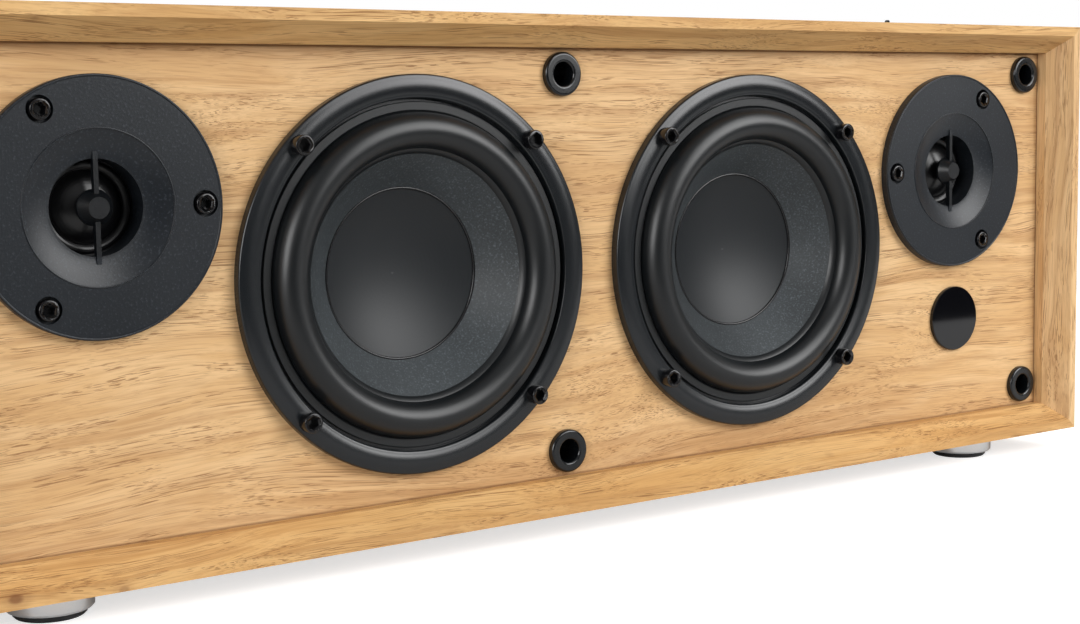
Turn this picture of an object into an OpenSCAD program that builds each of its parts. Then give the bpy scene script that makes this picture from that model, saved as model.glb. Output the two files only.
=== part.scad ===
// Active stereo loudspeaker: a mitred wooden box with a recessed front baffle,
// two woofers, two tweeters, grille sockets, a remote receiver window and an amplifier plate.
// The box stands on four feet. X is the width, Y runs from front to rear, Z is up.

/* [Cabinet] */
// Depth of the cabinet from the front edge to the rear edge
cabinet_d = 220; // [200:5:320]
// Thickness of the four mitred panels
panel_t = 12; // [10:0.5:15]
// Thickness that the bevel leaves at the front edge
front_edge_t = 4.3; // [3:0.1:8]
// Depth of the baffle face behind the front edge
baffle_recess = 15.5; // [14:0.5:25]
// Straight return of the panels between bevel and baffle
bevel_return = 4.9; // [3:0.1:8]
// Thickness of the front baffle
baffle_t = 15; // [12:1:22]
// Depth of the rear panel's face inside the rear edge
rear_recess = 12; // [11:0.5:20]
// Thickness of the rear panel
rear_t = 12; // [9:1:18]
// Thickness of the divider between the two woofer chambers
divider_t = 12; // [9:1:13]

/* [Woofers] */
// Radius of the woofer frame
woofer_r = 75; // [73:0.5:78]
// Width of baffle left between the two woofer frames
woofer_gap = 17.4; // [14:0.2:40]
// Baffle left between a woofer frame and the top or bottom panel
woofer_edge_gap = 10.5; // [8:0.5:30]
// Height of the frame over the baffle
woofer_proud = 4; // [3:0.1:5]
// Width of the flat outer band of the frame
woofer_band_w = 8.5; // [8:0.1:9]
// Radius of the cone at its outer edge
cone_r = 47.2; // [45:0.1:47.5]
// Radius of the dust cap
cap_r = 32.4; // [28:0.2:34]
// Depth of the dish in the dust cap
cap_sag = 7; // [4:0.5:9]
// Thickness of the cone wall
cone_t = 0.8; // [0.5:0.1:1]
// Depth of the cone neck behind the baffle face
neck_depth = 30; // [28:0.5:32]
// Thickness of the rubber surround
surround_t = 0.8; // [0.6:0.1:1]
// Inner radius of the voice coil former
coil_r = 12.7; // [12:0.1:13]
// Running gap on each side of the voice coil
coil_gap = 0.5; // [0.4:0.05:0.7]
// Thickness of the front magnet plate of a woofer
woofer_plate_t = 5; // [4:0.5:7]
// Radius of the woofer magnet
woofer_magnet_r = 42; // [40:0.5:45]
// Thickness of the woofer magnet
woofer_magnet_t = 14; // [12:1:18]
// Number of arms in the woofer frame
frame_arms = 6; // [4:1:8]

/* [Tweeters] */
// Radius of the tweeter faceplate
tweeter_r = 44.6; // [43.5:0.1:46]
// Width between a tweeter faceplate and the woofer frame beside it
driver_gap = 4.8; // [2:0.2:30]
// Baffle left between a tweeter faceplate and the side panel
tweeter_side_gap = 17.8; // [14:0.2:40]
// Height of the tweeter centres over the woofer centres
tweeter_rise = 30.6; // [28:0.2:36]
// Height of the faceplate over the baffle
tweeter_proud = 3.6; // [3:0.1:4.5]
// Radius of the rim of the waveguide
waveguide_r = 26.6; // [25:0.1:28]
// Radius of the throat in front of the dome
throat_r = 16.5; // [16:0.1:17.5]
// Radius of the dome
dome_r = 12.6; // [12:0.1:13]
// Height of the dome
dome_h = 4.6; // [3.5:0.1:4.8]
// Half length of the bar that carries the plug
bridge_r = 19; // [18.2:0.1:21]
// Width of the bar that carries the plug
bridge_w = 1.7; // [1.2:0.1:2.5]
// Radius of the tweeter magnet
tweeter_magnet_r = 30; // [27:0.5:31]
// Thickness of the tweeter magnet
tweeter_magnet_t = 12; // [8:1:16]

/* [Front fittings] */
// Radius of a grille socket's collar
socket_r = 8.7; // [7.8:0.1:9.5]
// Radius of the hole that takes a grille pin
socket_bore_r = 4.6; // [3.5:0.1:4.9]
// Height of the collar over the baffle
socket_proud = 2.6; // [1.5:0.1:4]
// Baffle left between the sockets and the top or bottom panel
socket_edge_gap = 1.6; // [1:0.1:3]
// Distance of the outer sockets from the side panels
socket_side_gap = 11.3; // [10:0.1:13]
// Shift of the middle sockets from the middle, clear of the divider
socket_shift = 15.4; // [15.2:0.1:18]
// Radius of the receiver window
window_r = 15.1; // [13:0.1:16]
// Distance of the window from the right side panel
window_side_gap = 59.4; // [52:0.2:66]
// Baffle left between the window and the tweeter faceplate above it
window_gap = 10; // [6:0.5:16]
// Height of the window over the baffle
window_proud = 1.8; // [1:0.1:3]

/* [Feet] */
// Radius of the foot cups
foot_r = 15.1; // [13:0.1:20]
// Height of the feet under the cabinet
foot_h = 10; // [9:0.5:14]
// Radius of the rubber pads
pad_r = 12.6; // [10:0.1:12.8]
// Height of the pad below its cup
pad_drop = 2.4; // [1:0.1:3]
// Distance of the foot centres from the sides
foot_side = 55.5; // [40:0.5:80]
// Distance of the foot centres from the front and rear edges
foot_edge = 25; // [20.5:0.5:40]

/* [Rear and top fittings] */
// Width of the amplifier plate
plate_w = 180; // [176:2:190]
// Height of the amplifier plate
plate_h = 116; // [112:2:130]
// Thickness of the amplifier plate
plate_t = 2; // [1.5:0.5:3]
// Width of rear panel under the rim of the amplifier plate
plate_rim = 11; // [9:0.5:12]
// Distance of the plate's centre from the middle of the cabinet
plate_x = 140; // [128:1:144]
// Outer radius of the power transformer
transformer_r = 38; // [30:1:42]
// Height of the power transformer
transformer_h = 34; // [25:1:45]
// Radius of the standby button
button_r = 1.2; // [1:0.1:2]
// Height of the button over the top panel
button_proud = 5.2; // [3:0.1:8]
// Travel of the button
button_travel = 1; // [0.6:0.1:1.5]
// Distance of the button from the right side of the cabinet
button_side = 73; // [60:1:90]
// Distance of the button from the front edge
button_back = 56.5; // [50:0.5:80]

/* [Hidden] */
$fn = 72;

// The cabinet is as wide and as high as its drivers, their gaps and its panels
cabinet_w = 2 * (woofer_gap / 2 + 2 * woofer_r + driver_gap + 2 * tweeter_r + tweeter_side_gap
  + panel_t);
cabinet_h = 2 * (woofer_r + woofer_edge_gap + panel_t);

// Planes of the cabinet
cabinet_z = foot_h;
mid_z = cabinet_z + cabinet_h / 2;
top_z = cabinet_z + cabinet_h;
front_y = -cabinet_d / 2;
rear_y = cabinet_d / 2;
baffle_y = front_y + baffle_recess;
baffle_back_y = baffle_y + baffle_t;
rear_face_y = rear_y - rear_recess;
rear_inner_y = rear_face_y - rear_t;
inner_w = cabinet_w - 2 * panel_t;
inner_h = cabinet_h - 2 * panel_t;
floor_z = cabinet_z + panel_t;
ceiling_z = top_z - panel_t;

// Clearances: seat is a fit that only slides, hole is round a screw, slip is round a spigot
seat = 0.05;
hole = 0.15;
slip = 0.5;
past = 1;

// Woofer: heights are over the baffle face, so what lies behind it is negative
woofer_x = woofer_r + woofer_gap / 2;
band_r = woofer_r - woofer_band_w;
ledge_h = 1;
ledge_r = band_r - 7.5;
foot_in_r = band_r - 5.2;
foot_out_r = band_r - 1.4;
surround_foot_t = 1.5;
cone_edge_h = 3;
cap_h = -11.3;
spider_h = -(neck_depth + 3.5);
spider_t = 0.5;
spider_ledge_h = spider_h - spider_t;
spider_out_r = 38.8;
frame_floor_h = -(neck_depth + 12);
frame_floor_t = 2;
frame_base_r = 42;
frame_wall = 2.5;
former_t = 0.5;
winding_t = 0.6;
winding_over = 2;
coil_out_r = coil_r + former_t + winding_t;
gap_top_h = frame_floor_h;
gap_mid_h = gap_top_h - woofer_plate_t / 2;
plate_bore_r = coil_out_r + coil_gap;
pole_r = coil_r - coil_gap;
woofer_magnet_h = gap_top_h - woofer_plate_t;
woofer_yoke_h = woofer_magnet_h - woofer_magnet_t;
woofer_yoke_t = 6;
pole_vent_r = 4;
woofer_screw_r = 2;
woofer_head_r = 3.3;
woofer_head_h = 3.6;
woofer_screw_ring = woofer_r - 4.5;
woofer_screw_angles = [45, 135, 225, 315];
woofer_cut_r = ledge_r + frame_wall + slip;
arm_root_r = 20;

// Tweeter: heights over the baffle face again
tweeter_x = inner_w / 2 - tweeter_side_gap - tweeter_r;
tweeter_z = mid_z + tweeter_rise;
throat_h = 0.6;
spigot_h = -9.5;
spigot_r = tweeter_magnet_r + 1;
dome_foot_t = 0.5;
dome_base_h = spigot_h;
tweeter_plate_t = 4;
tweeter_plate_h = spigot_h - dome_foot_t;
tweeter_coil_t = 0.4;
tweeter_gap = 0.4;
tweeter_magnet_h = tweeter_plate_h - tweeter_plate_t;
tweeter_yoke_h = tweeter_magnet_h - tweeter_magnet_t;
tweeter_yoke_t = 4;
plug_base_h = -2;
plug_base_r = 6.3;
plug_front_h = 3;
plug_front_r = 3.7;
bridge_front_h = 1.3;
bridge_back_h = -1;
tweeter_screw_r = 1.9;
tweeter_head_r = 3.4;
tweeter_head_h = 3.4;
tweeter_screw_ring = tweeter_r - 6.5;
counterbore_r = 4.65;
counterbore_h = tweeter_proud - 2.9;
screw_depth = 12;

// Front fittings
socket_spigot_r = socket_bore_r + 1.7;
socket_depth = baffle_t - 2;
outer_socket_x = inner_w / 2 - socket_side_gap;
socket_z = inner_h / 2 - socket_edge_gap - socket_r;
window_x = inner_w / 2 - window_side_gap;
window_z = tweeter_z - tweeter_r - window_gap - window_r;
window_spigot_r = window_r - 4;
receiver_board_t = 1.6;

// Feet
foot_web_t = 3;
foot_screw_r = 2;
foot_head_r = 4;
foot_head_h = 2.5;
pad_hole_r = 5.5;
foot_x = cabinet_w / 2 - foot_side;
foot_y = cabinet_d / 2 - foot_edge;

// Rear fittings
opening_w = plate_w - 2 * plate_rim;
opening_h = plate_h - 2 * plate_rim;
plate_screw_r = 1.6;
plate_head_r = 3;
plate_head_h = 2;
board_w = 92;
board_h = 80;
board_t = 1.6;
board_gap = 12;
board_x = plate_x - opening_w / 2 + board_w / 2 + 3;
post_r = 3;
capacitor_r = 8;
capacitor_l = 26;
capacitor_pitch = 22;
capacitor_drop = 18;
heatsink_w = 64;
heatsink_h = 10;
heatsink_d = 12;
heatsink_rise = 4;
transformer_back = 28;
inlet_x = plate_x + opening_w / 2 - 26;
inlet_flange_w = 34;
inlet_flange_h = 30;
inlet_flange_t = 3;
inlet_body_w = 28;
inlet_body_h = 21;
inlet_mouth_w = 24.6;
inlet_mouth_h = 17;
inlet_depth = 16;
jack_r = 4.15;
jack_len = 8.5;
jack_pitch = 22;
jack_stem_r = 3;

// Standby button
button_x = cabinet_w / 2 - button_side;
button_y = front_y + button_back;
button_clear = 0.35;
switch_w = 12;
switch_h = 12;
button_len = button_proud + panel_t + 5;

// Points along an arc about a centre, from one angle to another
function arc(cx, cy, r, from, to, n) =
  [for (i = [0:n]) let (a = from + (to - from) * i / n) [cx + r * cos(a), cy + r * sin(a)]];
// Front of the woofer cone at a radius
cone_slope = (cone_edge_h - cap_h) / (cone_r - cap_r);
neck_r = coil_r + former_t + seat;
neck_h = -neck_depth;
function cone_front(r) = r >= cap_r
  ? cone_edge_h - cone_slope * (cone_r - r)
  : cap_h + (neck_h - cap_h) * (1 - pow((r - neck_r) / (cap_r - neck_r), 0.9));
// Front of the dished dust cap at a radius
cap_sphere_r = (cap_r * cap_r + cap_sag * cap_sag) / (2 * cap_sag);
function cap_front(r) = cap_h - cap_sag + cap_sphere_r
  - sqrt(cap_sphere_r * cap_sphere_r - r * r);
// Front of the tweeter waveguide at a radius, a curve that flattens towards the rim
function guide_front(r) = let (k = (r - throat_r) / (waveguide_r - throat_r))
  throat_h + (tweeter_proud - throat_h) * pow(k, 1.5);

// Puts a shape on the baffle, its own Z towards the listener
module on_baffle(x, z) { translate([x, baffle_y, z]) rotate([90, 0, 0]) children(); }

// A ring from one height to another
module ring(r_out, r_in, low, high) {
  rotate_extrude()
    polygon([[r_in, low], [r_out, low], [r_out, high], [r_in, high]]);
}

// A round rod from one height to another
module rod(r, low, high) { translate([0, 0, low]) cylinder(r = r, h = high - low); }

// Copies at a radius, one for each angle
module around(radius, angles) {
  for (a = angles) rotate(a) translate([radius, 0, 0]) rotate(-a) children();
}

// A socket head screw, its seat at height zero
module socket_screw(shank_r, length, head_r, head_h) {
  difference() {
    union() {
      rod(shank_r, -length, past / 2);
      rotate_extrude()
        polygon([[0, 0], [head_r, 0], [head_r, head_h - 0.5], [head_r - 0.5, head_h], [0, head_h]]);
    }
    translate([0, 0, head_h * 0.4]) cylinder(r = head_r * 0.56, h = head_h, $fn = 6);
  }
}

// Section of a mitred panel: y runs back, the second value is the thickness inwards
module panel_section() {
  polygon([[front_y, 0], [rear_y, 0], [rear_y, panel_t],
    [front_y + baffle_recess - bevel_return, panel_t], [front_y, front_edge_t]]);
}

// A panel lying with its outer face up at height zero, its ends cut to the mitre
module mitred_panel(length) {
  deep = panel_t + past;
  intersection() {
    translate([-length / 2, 0, 0]) rotate([90, 0, 90]) linear_extrude(length)
      mirror([0, 1]) panel_section();
    translate([0, rear_y + past, 0]) rotate([90, 0, 0]) linear_extrude(cabinet_d + 2 * past)
      polygon([[-length / 2, 0], [length / 2, 0], [length / 2 - deep, -deep],
        [-length / 2 + deep, -deep]]);
  }
}

module top_panel() {
  color("burlywood") difference() {
    translate([0, 0, top_z]) mitred_panel(cabinet_w);
    translate([button_x, button_y, ceiling_z - past])
      cylinder(r = button_r + button_clear, h = panel_t + 2 * past);
  }
}

module bottom_panel() {
  color("burlywood") difference() {
    translate([0, 0, cabinet_z]) rotate([0, 180, 0]) mitred_panel(cabinet_w);
    for (x = [-foot_x, foot_x], y = [-foot_y, foot_y]) translate([x, y, cabinet_z - past])
      cylinder(r = foot_screw_r + hole, h = panel_t + 2 * past);
  }
}

module side_panel(side) {
  color("burlywood") translate([side * cabinet_w / 2, 0, mid_z]) rotate([0, side * 90, 0])
    mitred_panel(cabinet_h);
}

module left_side_panel() { side_panel(-1); }

module right_side_panel() { side_panel(1); }

module front_baffle() {
  color("burlywood") difference() {
    translate([-inner_w / 2, baffle_y, floor_z]) cube([inner_w, baffle_t, inner_h]);
    for (side = [-1, 1]) {
      on_baffle(side * woofer_x, mid_z) {
        rod(woofer_cut_r, -baffle_t - past, past);
        around(woofer_screw_ring, woofer_screw_angles)
          rod(woofer_screw_r + hole, -baffle_t - past, past);
      }
      on_baffle(side * tweeter_x, tweeter_z) {
        rod(spigot_r + slip, -baffle_t - past, past);
        around(tweeter_screw_ring, tweeter_screw_angles(side))
          rod(tweeter_screw_r + hole, -baffle_t - past, past);
      }
    }
    socket_places() rod(socket_spigot_r + hole, -baffle_t - past, past);
    on_baffle(window_x, window_z) rod(window_spigot_r + hole, -baffle_t - past, past);
  }
}

module rear_panel() {
  color("burlywood") difference() {
    translate([-inner_w / 2, rear_inner_y, floor_z]) cube([inner_w, rear_t, inner_h]);
    translate([plate_x - opening_w / 2, rear_inner_y - past, mid_z - opening_h / 2])
      cube([opening_w, rear_t + 2 * past, opening_h]);
    plate_screw_places() rotate([90, 0, 0]) rod(plate_screw_r + hole, -past, rear_t + past);
  }
}

module centre_divider() {
  color("tan") translate([-divider_t / 2, baffle_back_y, floor_z])
    cube([divider_t, rear_inner_y - baffle_back_y, inner_h]);
}

// Woofer pieces, in the driver's own frame
module basket() {
  difference() {
    rotate_extrude() polygon(concat(
      [[woofer_r, 0], [woofer_r, woofer_proud - 0.8], [woofer_r - 0.3, woofer_proud - 0.25],
        [woofer_r - 0.8, woofer_proud], [band_r + 0.6, woofer_proud],
        [band_r + 0.15, woofer_proud - 0.2], [band_r, woofer_proud - 0.6]],
      [[band_r, ledge_h], [ledge_r, ledge_h], [ledge_r, -6],
        [spider_out_r + 0.7, spider_ledge_h], [spider_out_r - 3.8, spider_ledge_h],
        [spider_out_r - 3.8, frame_floor_h + frame_floor_t],
        [plate_bore_r + 12, frame_floor_h + frame_floor_t], [plate_bore_r + 12, frame_floor_h],
        [frame_base_r, frame_floor_h], [frame_base_r, spider_ledge_h - 2],
        [ledge_r + frame_wall, -6], [ledge_r + frame_wall, 0]]));
    frame_windows();
    around(woofer_screw_ring, woofer_screw_angles) rod(woofer_screw_r + hole, -past, 9);
  }
}

// Windows between the arms of the woofer frame
module frame_windows() {
  reach = woofer_r;
  half = 180 / frame_arms - 9;
  root = arm_root_r;
  for (i = [0:frame_arms - 1]) rotate((i + 0.5) * 360 / frame_arms)
    translate([0, 0, spider_ledge_h + 3]) linear_extrude(-8 - spider_ledge_h - 3)
      polygon([[root, 0], [root + reach * cos(half), reach * sin(half)],
        [root + reach * cos(half), -reach * sin(half)]]);
}

// Half roll of rubber between the frame's ledge and the cone's edge
module surround() {
  inner_r = cone_r + 0.4;
  outer_r = foot_in_r - 0.2;
  mid_r = (inner_r + outer_r) / 2;
  half_w = (outer_r - inner_r) / 2;
  tilt = 7;
  roll_h = 2.8;
  foot_in = 1.5;
  color("#17181a") rotate_extrude() polygon(concat(
    [[foot_out_r, ledge_h], [foot_out_r, ledge_h + surround_foot_t],
      [foot_in_r + 0.5, ledge_h + surround_foot_t]],
    arc(mid_r, roll_h, half_w, -tilt, 180 - tilt, 28),
    [[cone_r - foot_in, cone_front(cone_r - foot_in) + 0.6],
      [cone_r - foot_in, cone_front(cone_r - foot_in) + seat], [cone_r, cone_edge_h + seat]],
    arc(mid_r, roll_h, half_w - surround_t, 180 - tilt, -tilt, 28),
    [[foot_in_r, ledge_h]]));
}

module cone() {
  steps = 16;
  front = [for (i = [0:steps]) let (r = neck_r + (cone_r - neck_r) * i / steps)
    [r, cone_front(r)]];
  back = [for (i = [steps:-1:0]) let (r = neck_r + (cone_r - neck_r) * i / steps)
    [r, cone_front(r) - cone_t * 1.3]];
  color("#2a2c2f") rotate_extrude() polygon(concat(front, back));
}

module dust_cap() {
  steps = 18;
  cap_t = 0.7;
  edge_r = cap_r - 0.1;
  back_r = cap_r - 1.8;
  color("#2b2d31") rotate_extrude() polygon(concat(
    [for (i = [0:steps]) let (r = edge_r * i / steps) [r, cap_front(r) + 0.2]],
    [for (i = [steps:-1:0]) let (r = back_r * i / steps) [r, cap_front(r) + 0.2 - cap_t]]));
}

// Corrugated cloth disc that centres the voice coil
module spider() {
  inner_r = neck_r;
  roll_in = inner_r + 2.2;
  roll_out = spider_out_r - 4.3;
  waves = 4;
  steps = 48;
  swing = 1.3;
  color("#c9a04a") rotate_extrude() polygon(concat(
    [[inner_r, spider_h - spider_t], [inner_r, spider_h]],
    [for (i = [0:steps]) [roll_in + (roll_out - roll_in) * i / steps,
      spider_h + swing * sin(360 * waves * i / steps)]],
    [[spider_out_r, spider_h], [spider_out_r, spider_h - spider_t]],
    [for (i = [steps:-1:0]) [roll_in + (roll_out - roll_in) * i / steps,
      spider_h - spider_t + swing * sin(360 * waves * i / steps)]]));
}

module voice_coil() {
  winding_low = gap_mid_h - woofer_plate_t / 2 - winding_over;
  winding_high = gap_mid_h + woofer_plate_t / 2 + winding_over;
  color("#b06a36") union() {
    ring(coil_r + former_t, coil_r, winding_low - 1, neck_h + 3);
    ring(coil_out_r, coil_r + former_t / 2, winding_low, winding_high);
  }
}

module woofer_top_plate() {
  color("#8f9296") ring(frame_base_r - 4, plate_bore_r, woofer_magnet_h, gap_top_h);
}

module woofer_magnet() {
  color("#3a3a3c") ring(woofer_magnet_r, pole_r + 7, woofer_yoke_h, woofer_magnet_h);
}

module woofer_yoke() {
  color("#8f9296") rotate_extrude() polygon([[pole_vent_r, woofer_yoke_h - woofer_yoke_t],
    [frame_base_r - 6, woofer_yoke_h - woofer_yoke_t],
    [frame_base_r - 4, woofer_yoke_h - woofer_yoke_t + 2], [frame_base_r - 4, woofer_yoke_h],
    [pole_r, woofer_yoke_h], [pole_r, gap_top_h + 1], [pole_vent_r, gap_top_h + 1]]);
}

module woofer_terminals() {
  strip_w = 18;
  strip_t = 1.6;
  tab_w = 4.8;
  color("#8a5a2b") translate([0, -frame_base_r - strip_t, frame_floor_h]) {
    translate([-strip_w / 2, 0, 0]) cube([strip_w, strip_t, 6]);
    for (x = [-5, 5]) translate([x - tab_w / 2, -7, 2]) cube([tab_w, 7 + strip_t / 2, 0.8]);
  }
}

module woofer_screws() {
  color("#101011") around(woofer_screw_ring, woofer_screw_angles) translate([0, 0, woofer_proud])
    socket_screw(woofer_screw_r, woofer_proud + screw_depth, woofer_head_r, woofer_head_h);
}

// Screw angles of a tweeter, mirrored from left to right
function tweeter_screw_angles(side) = side < 0 ? [0, 120, 240] : [180, 60, 300];

// Faceplate moulded in one with its waveguide, bar and plug
module faceplate(side) {
  steps = 12;
  throat_low = spigot_h;
  difference() {
    union() {
      rotate_extrude() polygon(concat(
        [[tweeter_r, 0], [tweeter_r, tweeter_proud - 0.7],
          [tweeter_r - 0.7, tweeter_proud], [waveguide_r + 0.3, tweeter_proud]],
        [for (i = [steps:-1:0]) let (r = throat_r + (waveguide_r - throat_r) * i / steps)
          [r, guide_front(r)]],
        [[throat_r, throat_low], [spigot_r, throat_low], [spigot_r, 0]]));
      intersection() {
        translate([-bridge_w / 2, -bridge_r, bridge_back_h])
          cube([bridge_w, 2 * bridge_r, bridge_front_h - bridge_back_h]);
        rod(bridge_r, spigot_h, tweeter_proud);
      }
      rotate_extrude() polygon([[0, plug_base_h], [plug_base_r, plug_base_h],
        [plug_base_r, plug_base_h + 1], [plug_front_r, plug_front_h], [0, plug_front_h]]);
    }
    around(tweeter_screw_ring, tweeter_screw_angles(side)) {
      rod(counterbore_r, counterbore_h, tweeter_proud + past);
      rod(tweeter_screw_r + hole, -past, tweeter_proud + past);
    }
  }
}

// Doped cloth dome with its small roll and the foot that is clamped
module dome() {
  base = dome_base_h;
  sphere_r = (dome_r * dome_r + dome_h * dome_h) / (2 * dome_h);
  tilt = asin(dome_r / sphere_r);
  roll_r = (throat_r - 0.3 - dome_r) / 2;
  color("#1b1c1f") rotate_extrude() polygon(concat(
    arc(0, base + dome_h - sphere_r, sphere_r, 90, 90 - tilt, 12),
    arc(dome_r + roll_r, base, roll_r, 180, 0, 8),
    [[throat_r + 4, base], [throat_r + 4, base - dome_foot_t]],
    arc(dome_r + roll_r, base - dome_foot_t, roll_r, 0, 180, 8),
    arc(0, base + dome_h - sphere_r - dome_foot_t, sphere_r, 90 - tilt, 90, 12)));
}

module tweeter_voice_coil() {
  color("#b06a36") ring(dome_r + tweeter_coil_t, dome_r, tweeter_magnet_h - 1,
    dome_base_h - dome_foot_t);
}

module tweeter_top_plate() {
  color("#8f9296") ring(tweeter_magnet_r, dome_r + tweeter_coil_t + tweeter_gap, tweeter_magnet_h,
    tweeter_plate_h);
}

module tweeter_magnet() {
  color("#3a3a3c") ring(tweeter_magnet_r, dome_r + 5, tweeter_yoke_h, tweeter_magnet_h);
}

module tweeter_yoke() {
  pole = dome_r - tweeter_gap;
  color("#8f9296") rotate_extrude() polygon([[0, tweeter_yoke_h - tweeter_yoke_t],
    [tweeter_magnet_r - 1.5, tweeter_yoke_h - tweeter_yoke_t],
    [tweeter_magnet_r, tweeter_yoke_h - tweeter_yoke_t + 1.5], [tweeter_magnet_r, tweeter_yoke_h],
    [pole, tweeter_yoke_h], [pole, tweeter_plate_h - 0.8], [0, tweeter_plate_h - 0.8]]);
}

module tweeter_screws(side) {
  color("#101011") around(tweeter_screw_ring, tweeter_screw_angles(side))
    translate([0, 0, counterbore_h])
      socket_screw(tweeter_screw_r, counterbore_h + screw_depth, tweeter_head_r, tweeter_head_h);
}

// Six sockets that take the pins of the front grille
module socket_places() {
  for (x = [-outer_socket_x, -socket_shift, outer_socket_x], z = [-socket_z, socket_z])
    on_baffle(x, mid_z + z) children();
}

module grille_sockets() {
  lip = 1.1;
  color("#1d1e20") socket_places() rotate_extrude() polygon(concat(
    [[0, -socket_depth], [socket_spigot_r, -socket_depth], [socket_spigot_r, 0], [socket_r, 0]],
    arc(socket_r - lip, socket_proud - lip, lip, 0, 90, 6),
    arc(socket_bore_r + lip, socket_proud - lip, lip, 90, 180, 6),
    [[socket_bore_r, 1 - socket_depth], [0, 1 - socket_depth]]));
}

module receiver_window() {
  color("#050506") on_baffle(window_x, window_z) rotate_extrude()
    polygon([[0, -baffle_t], [window_spigot_r, -baffle_t], [window_spigot_r, 0], [window_r, 0],
      [window_r, window_proud - 0.3], [window_r - 0.3, window_proud], [0, window_proud]]);
}

module receiver_board() {
  side = 2 * window_spigot_r + 6;
  color("#1f5a3a") on_baffle(window_x, window_z) {
    translate([-side / 2, -side / 2, -baffle_t - receiver_board_t])
      cube([side, side, receiver_board_t]);
    translate([-4, -3, -baffle_t - receiver_board_t - 4]) cube([8, 6, 4 + receiver_board_t / 2]);
  }
}

// Foot cups with their web, pads and screws
module foot_cup(sx, sy) {
  web_low = foot_h - foot_web_t;
  color("#d4d6d8") translate([sx * foot_x, sy * foot_y, 0]) rotate_extrude() polygon([
    [foot_screw_r + hole, web_low], [pad_r + hole, web_low], [pad_r + hole, pad_drop],
    [foot_r - 0.8, pad_drop], [foot_r, pad_drop + 0.8], [foot_r, foot_h - 0.4],
    [foot_r - 0.4, foot_h], [foot_screw_r + hole, foot_h]]);
}

module front_left_foot() { foot_cup(-1, -1); }

module front_right_foot() { foot_cup(1, -1); }

module rear_left_foot() { foot_cup(-1, 1); }

module rear_right_foot() { foot_cup(1, 1); }

module foot_places() {
  for (x = [-foot_x, foot_x], y = [-foot_y, foot_y]) translate([x, y, 0]) children();
}

module foot_pads() {
  color("#141415") foot_places() rotate_extrude() polygon([[pad_hole_r, 0], [pad_r - 0.8, 0],
    [pad_r, 0.8], [pad_r, foot_h - foot_web_t], [pad_hole_r, foot_h - foot_web_t]]);
}

module foot_screws() {
  length = foot_web_t + panel_t - 2;
  color("#9a9ca0") foot_places() translate([0, 0, foot_h - foot_web_t]) rotate([180, 0, 0])
    socket_screw(foot_screw_r, length, foot_head_r, foot_head_h);
}

// Rear plate with its posts for the amplifier board
module plate_screw_places() {
  for (x = [-1, 0, 1], z = [-1, 1])
    translate([plate_x + x * (plate_w / 2 - 5), rear_face_y, mid_z + z * (plate_h / 2 - 5)])
      children();
}

module jack_places() {
  for (i = [-0.5, 0.5]) translate([board_x + i * jack_pitch, rear_face_y, mid_z + 14]) children();
}

module amplifier_plate() {
  color("#2c2e31") difference() {
    union() {
      translate([plate_x - plate_w / 2, rear_face_y, mid_z - plate_h / 2])
        cube([plate_w, plate_t, plate_h]);
      for (x = [-1, 1], z = [-1, 1])
        translate([board_x + x * (board_w / 2 - 6), rear_face_y + plate_t / 2,
          mid_z + z * (board_h / 2 - 6)]) rotate([90, 0, 0])
          cylinder(r = post_r, h = board_gap + plate_t / 2);
    }
    translate([inlet_x - inlet_body_w / 2 - hole, rear_face_y - past,
      mid_z - inlet_body_h / 2 - hole])
      cube([inlet_body_w + 2 * hole, plate_t + 2 * past, inlet_body_h + 2 * hole]);
    jack_places() rotate([90, 0, 0]) rod(jack_stem_r + hole, -plate_t - past, past);
    plate_screw_places() rotate([90, 0, 0]) rod(plate_screw_r + hole, -plate_t - past, past);
  }
}

// Mains inlet with its deep mouth and three blades
module mains_inlet() {
  outer_y = rear_face_y + plate_t;
  color("#121213") translate([inlet_x, outer_y, mid_z]) {
    difference() {
      union() {
        translate([-inlet_flange_w / 2, 0, -inlet_flange_h / 2])
          cube([inlet_flange_w, inlet_flange_t, inlet_flange_h]);
        translate([-inlet_body_w / 2, inlet_flange_t - inlet_depth - 2, -inlet_body_h / 2])
          cube([inlet_body_w, inlet_depth + 2 - past, inlet_body_h]);
      }
      translate([-inlet_mouth_w / 2, inlet_flange_t - inlet_depth, -inlet_mouth_h / 2])
        cube([inlet_mouth_w, inlet_depth + past, inlet_mouth_h]);
    }
    for (x = [-7, 0, 7]) translate([x - 1, inlet_flange_t - inlet_depth - 1,
      (x == 0 ? 3 : -3) - 2]) cube([2, 12, 4]);
  }
}

module input_sockets() {
  color("#c8a24a") jack_places() rotate([-90, 0, 0]) difference() {
    rotate_extrude() polygon([[0, -board_gap], [jack_stem_r, -board_gap],
      [jack_stem_r, plate_t], [jack_r + 2, plate_t], [jack_r + 2, plate_t + 1.5],
      [jack_r, plate_t + 1.5], [jack_r, plate_t + jack_len - 0.4],
      [jack_r - 0.4, plate_t + jack_len], [0, plate_t + jack_len]]);
    rod(1.6, plate_t + 1, plate_t + jack_len + past);
  }
}

module amplifier_board() {
  board_y = rear_face_y - board_gap - board_t;
  color("#1f5a3a") {
    union() {
      translate([board_x - board_w / 2, board_y, mid_z - board_h / 2])
        cube([board_w, board_t, board_h]);
      for (i = [-1, 0, 1])
        translate([board_x + i * capacitor_pitch, board_y + board_t / 2, mid_z - capacitor_drop])
          rotate([90, 0, 0]) cylinder(r = capacitor_r, h = capacitor_l);
      translate([board_x - heatsink_w / 2, board_y - heatsink_d, mid_z + heatsink_rise])
        cube([heatsink_w, heatsink_d + board_t / 2, heatsink_h]);
    }
  }
}

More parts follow.
